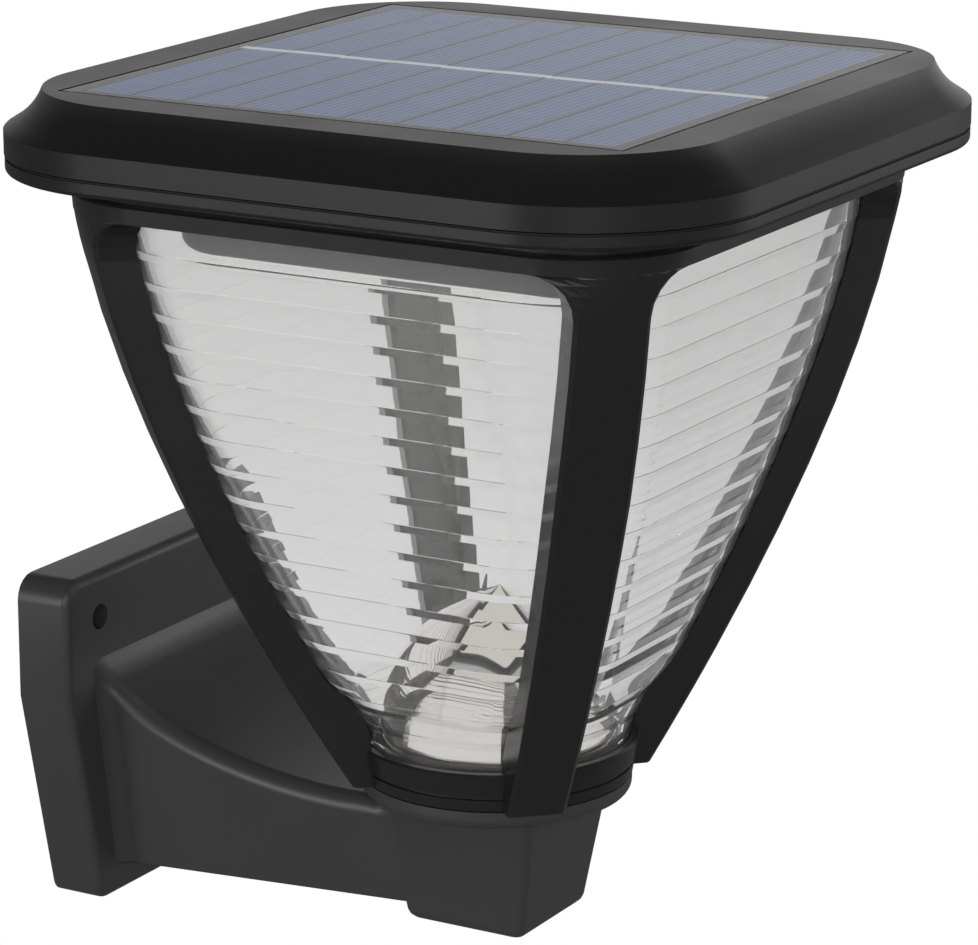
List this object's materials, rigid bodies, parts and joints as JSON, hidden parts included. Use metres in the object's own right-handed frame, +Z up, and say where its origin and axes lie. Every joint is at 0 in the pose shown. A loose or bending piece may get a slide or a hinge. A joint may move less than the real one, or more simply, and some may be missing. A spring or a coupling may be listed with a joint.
{
  "type": "solar wall light",
  "caption": "Square lantern-shaped solar wall light with a tapering ribbed lens in a four-leg cage, twist-locked on a moulded wall bracket.",
  "frame": {"origin": "on the wall face of the mounting plate, midway between its two screw holes", "axes": "+Z up, -Y out of the wall towards the lantern, +X to the right seen from the front"},
  "size_m": [0.1422, 0.1551, 0.1621],
  "materials": {
    "bracket_plastic": "fine grained moulding",
    "black_plastic": "satin moulding",
    "roof_plastic": "satin moulding, dusty sheen on the top face",
    "clear_plastic": "clear, ribbed",
    "seal_rubber": "soft matte",
    "mirror_plating": "mirror plated",
    "screw_steel": "zinc plated",
    "panel_backing": "dark laminate",
    "silicon_cells": "blue-grey silicon",
    "tinned_ribbon": "tinned foil",
    "panel_resin": "clear resin",
    "white_laminate": "white solder mask",
    "green_laminate": "green solder mask",
    "led_phosphor": "yellow phosphor",
    "milky_plastic": "milky diffuser",
    "battery_can": "shrink wrapped",
    "contact_brass": "plain",
    "component_plastic": "moulded component",
    "button_rubber": "soft matte"
  },
  "bodies": {
    "bracket": {"wall_bracket": "bracket_plastic"},
    "lantern": {"twist_plug": "black_plastic", "plug_screws": "screw_steel", "cage": "black_plastic", "lens": "clear_plastic", "lens_seal": "seal_rubber", "reflector_cone": "mirror_plating", "roof_base": "black_plastic", "roof_seal": "seal_rubber", "roof_cap": "roof_plastic", "roof_screws": "screw_steel", "cage_screws": "screw_steel", "panel_board": "panel_backing", "panel_pad": "seal_rubber", "solar_cells": "silicon_cells", "cell_ribbon": "tinned_ribbon", "panel_cover": "panel_resin", "lamp_tray": "black_plastic", "tray_screws": "screw_steel", "led_board": "white_laminate", "led_chips": "led_phosphor", "led_cover": "milky_plastic", "battery_cell": "battery_can", "battery_cradle": "black_plastic", "battery_contacts": "contact_brass", "control_board": "green_laminate", "board_parts": "component_plastic", "switch_body": "component_plastic"},
    "button": {"button_cap": "button_rubber"}
  },
  "joints": [
    {"name": "lantern_twist", "type": "hinge", "parent": "bracket", "child": "lantern", "pos_m": [0, -0.084, -0.0275], "axis": [0, 0, 1], "range_deg": [0, 20]},
    {"name": "button_press", "type": "slide", "parent": "lantern", "child": "button", "axis": [0, 0, 1], "range_m": [0, 0.0015], "stiffness_N_per_m": 500}
  ]
}
